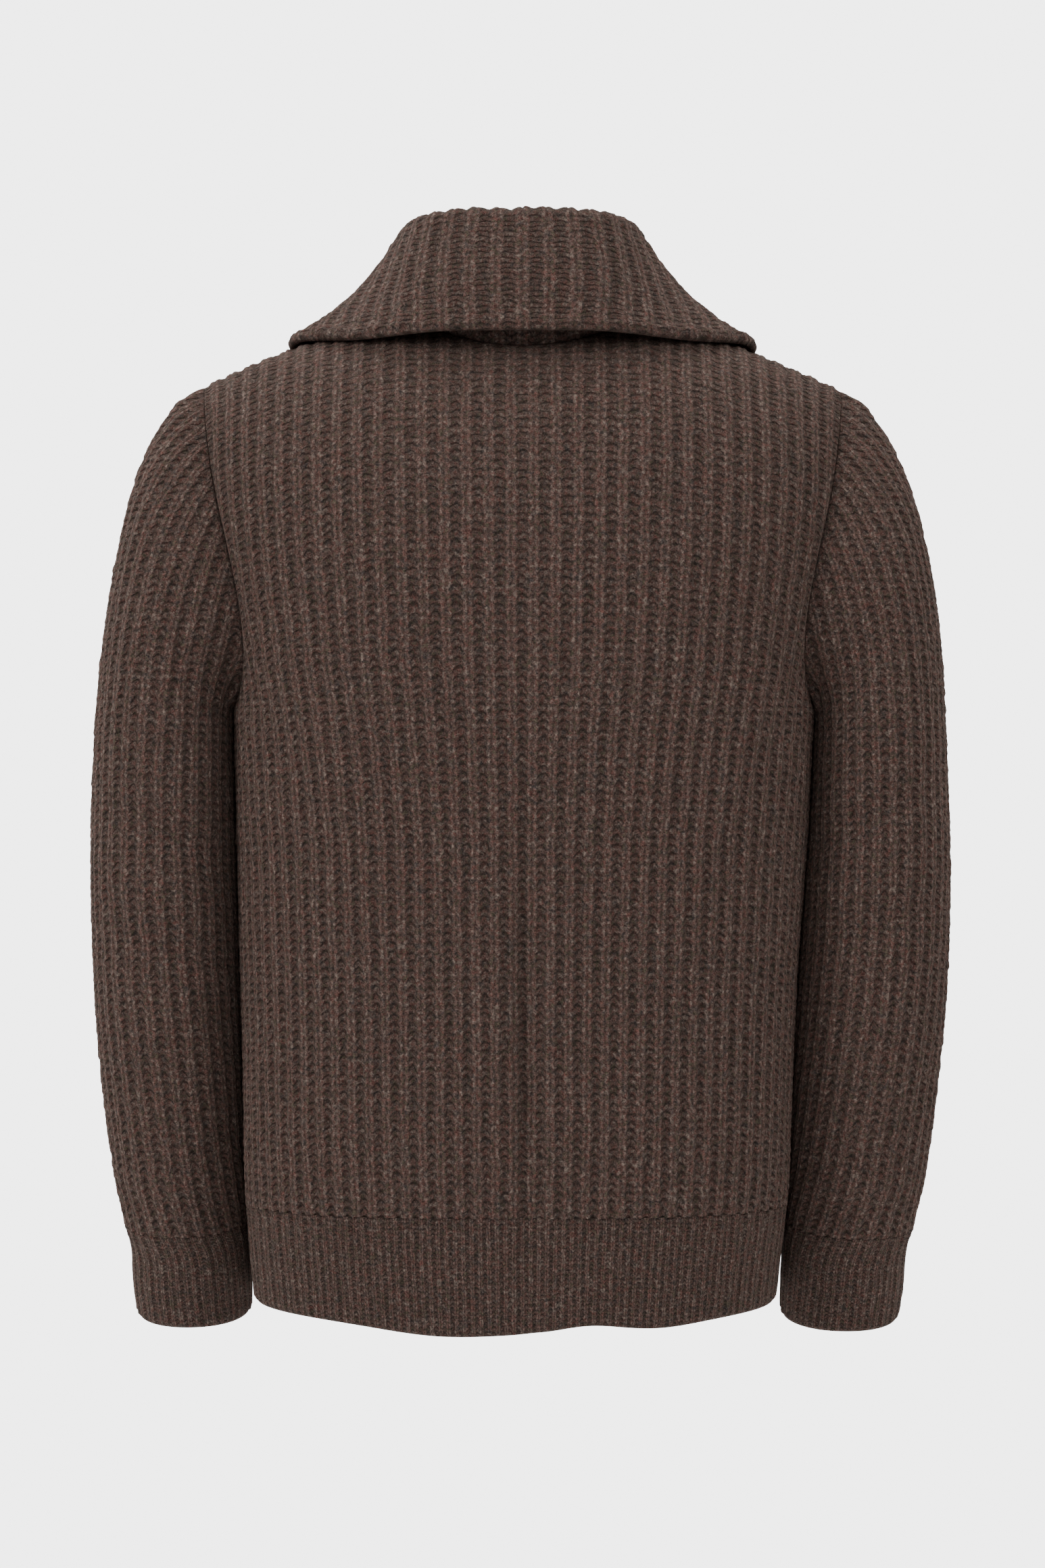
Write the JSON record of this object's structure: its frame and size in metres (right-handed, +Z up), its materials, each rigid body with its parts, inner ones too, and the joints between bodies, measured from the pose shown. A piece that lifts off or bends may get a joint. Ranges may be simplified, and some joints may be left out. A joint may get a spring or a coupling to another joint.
{
  "type": "zip-up cardigan",
  "caption": "Heavy rib-knit zip cardigan with a wide turned-down shawl collar, ribbed hem and cuffs, filled out as worn, open at neck, hem and cuffs.",
  "frame": {"origin": "middle of the neck, level with the back neck seam and between the shoulder seams, where the wearer's neck and shoulders carry the garment", "axes": "+Z up towards the collar; -Y is the way the wearer faces, so the zip is on the -Y side; +X is the wearer's left"},
  "size_m": [0.5832, 0.2488, 0.7543],
  "materials": {
    "wool_rib_knit": "matt, heathered brown, fuzzy",
    "zip_tape": "matt woven tape",
    "antique_brass": "aged satin"
  },
  "bodies": {
    "garment": {"back": "wool_rib_knit", "front_left": "wool_rib_knit", "front_right": "wool_rib_knit", "hem_back": "wool_rib_knit", "hem_front_left": "wool_rib_knit", "hem_front_right": "wool_rib_knit", "sleeve_left": "wool_rib_knit", "sleeve_right": "wool_rib_knit", "cuff_left": "wool_rib_knit", "cuff_right": "wool_rib_knit", "collar": "wool_rib_knit", "zip_tape_left": "zip_tape", "zip_tape_right": "zip_tape", "zip_chain_left": "antique_brass", "zip_chain_right": "antique_brass", "zip_slider": "antique_brass", "zip_box": "antique_brass", "zip_stop_left": "antique_brass", "zip_stop_right": "antique_brass"},
    "zip_pull_tab": {"zip_pull": "antique_brass"}
  },
  "joints": [
    {"name": "zip_pull_hinge", "type": "hinge", "parent": "garment", "child": "zip_pull_tab", "pos_m": [0, -0.1213, -0.2231], "axis": [-1, 0, 0], "range_deg": [0, 120]}
  ]
}
